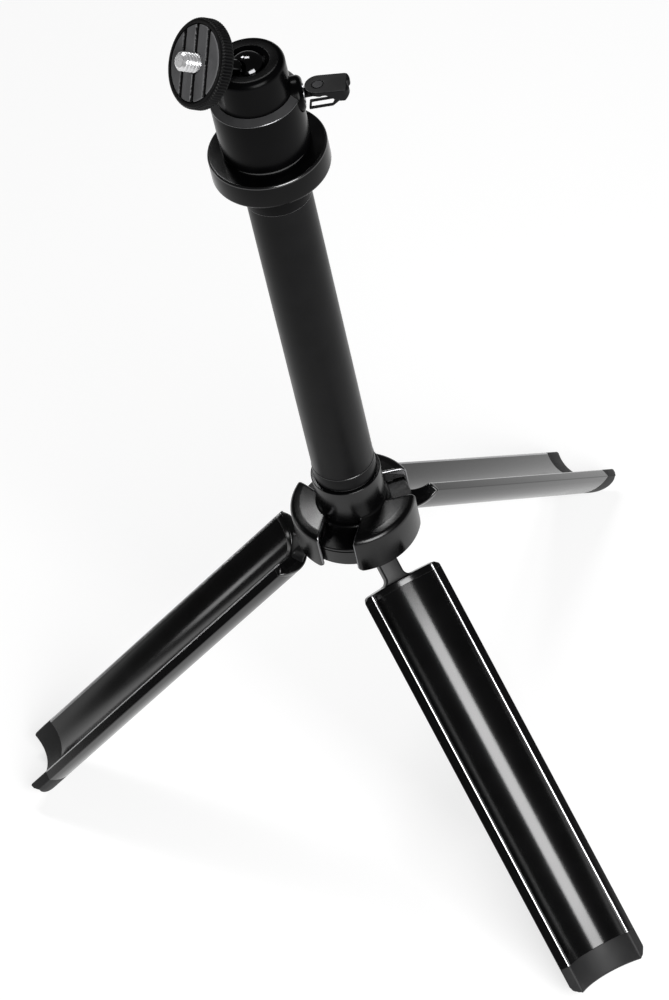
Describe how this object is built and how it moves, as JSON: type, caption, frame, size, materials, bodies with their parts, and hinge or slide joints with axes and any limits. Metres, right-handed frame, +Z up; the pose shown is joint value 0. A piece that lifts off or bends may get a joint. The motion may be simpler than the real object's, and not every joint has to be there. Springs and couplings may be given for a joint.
{
  "type": "tabletop tripod",
  "caption": "Small tripod with gutter-shaped swinging legs, a twist-lock hub, a short column and a ball head with a camera screw.",
  "frame": {"origin": "where the column's axis meets the ground the feet stand on", "axes": "+Z up along the column; the front leg points to azimuth -70.1 degrees, measured from +X towards +Y"},
  "size_m": [0.244, 0.2547, 0.3632],
  "materials": {
    "leg_black": "gloss black lacquer on an aluminium extrusion",
    "tube_black": "satin black",
    "hub_black": "semi-gloss black moulding",
    "head_black": "semi-gloss black, edges catch the light",
    "foot_rubber": "matte black",
    "bracket_black": "satin black moulding",
    "lever_grey": "matte dark grey",
    "plate_grey": "matte dark grey, knurled rim",
    "pad_rubber": "matte, ribbed",
    "ball_chrome": "dark polished",
    "screw_chrome": "polished",
    "steel": "plain steel",
    "seat_plastic": "plain"
  },
  "bodies": {
    "stand": {"hub_base": "hub_black", "hub_bolt": "steel", "hub_bolt_washer": "steel", "lock_ring_washer": "seat_plastic", "column_foot_ring": "tube_black", "column_tube": "tube_black", "column_foot_plug": "steel", "top_collar": "head_black", "head_platform": "hub_black", "head_stud": "steel", "pan_washer": "seat_plastic", "hinge_pin_front": "steel", "hinge_pin_right": "steel", "hinge_pin_left": "steel"},
    "lock_ring": {"leg_lock_ring": "hub_black"},
    "head": {"head_housing": "head_black", "head_cap": "head_black", "ball_seat": "seat_plastic", "seat_wedge": "steel", "bolt_bushing": "steel"},
    "clamp": {"clamp_bolt": "head_black", "lever_pin": "steel"},
    "lever": {"clamp_lever": "lever_grey"},
    "ball": {"ball_and_stem": "ball_chrome", "camera_screw": "screw_chrome"},
    "plate": {"camera_plate": "plate_grey", "plate_pad": "pad_rubber"},
    "leg_front": {"leg_shell_front": "leg_black", "foot_cap_front": "foot_rubber", "leg_bracket_front": "bracket_black"},
    "leg_right": {"leg_shell_right": "leg_black", "foot_cap_right": "foot_rubber", "leg_bracket_right": "bracket_black"},
    "leg_left": {"leg_shell_left": "leg_black", "foot_cap_left": "foot_rubber", "leg_bracket_left": "bracket_black"}
  },
  "joints": [
    {"name": "lock_ring_turn", "type": "hinge", "parent": "stand", "child": "lock_ring", "pos_m": [0, 0, 0.13185], "axis": [0, 0, 1], "range_deg": [0, 46.5]},
    {"name": "leg_swing_front", "type": "hinge", "parent": "stand", "child": "leg_front", "pos_m": [0.00454, -0.01255, 0.12395], "axis": [0.9403, 0.3404, 0], "range_deg": [0, 46]},
    {"name": "leg_swing_right", "type": "hinge", "parent": "stand", "child": "leg_right", "pos_m": [0.00863, 0.01018, 0.12395], "axis": [-0.7627, 0.6468, 0], "range_deg": [0, 46]},
    {"name": "leg_swing_left", "type": "hinge", "parent": "stand", "child": "leg_left", "pos_m": [-0.0131, 0.00257, 0.12395], "axis": [-0.1925, -0.9813, 0], "range_deg": [0, 46]},
    {"name": "head_pan", "type": "hinge", "parent": "stand", "child": "head", "pos_m": [0, 0, 0.31185], "axis": [0, 0, 1], "continuous": true},
    {"name": "ball_tilt", "type": "hinge", "parent": "head", "child": "ball", "pos_m": [0, 0, 0.33885], "axis": [0.3289, -0.9444, 0], "range_deg": [-79, 38]},
    {"name": "plate_spin", "type": "hinge", "parent": "ball", "child": "plate", "pos_m": [-0.01256, -0.00438, 0.34943], "axis": [-0.7391, -0.2574, 0.6225], "continuous": true},
    {"name": "clamp_turn", "type": "hinge", "parent": "head", "child": "clamp", "pos_m": [0.01544, -0.00135, 0.32555], "axis": [0.9962, -0.0872, 0], "range_deg": [0, 360]},
    {"name": "clamp_lever_swing", "type": "hinge", "parent": "clamp", "child": "lever", "pos_m": [0.02022, -0.00177, 0.32555], "axis": [0, 0, 1], "range_deg": [-72, 88]}
  ]
}
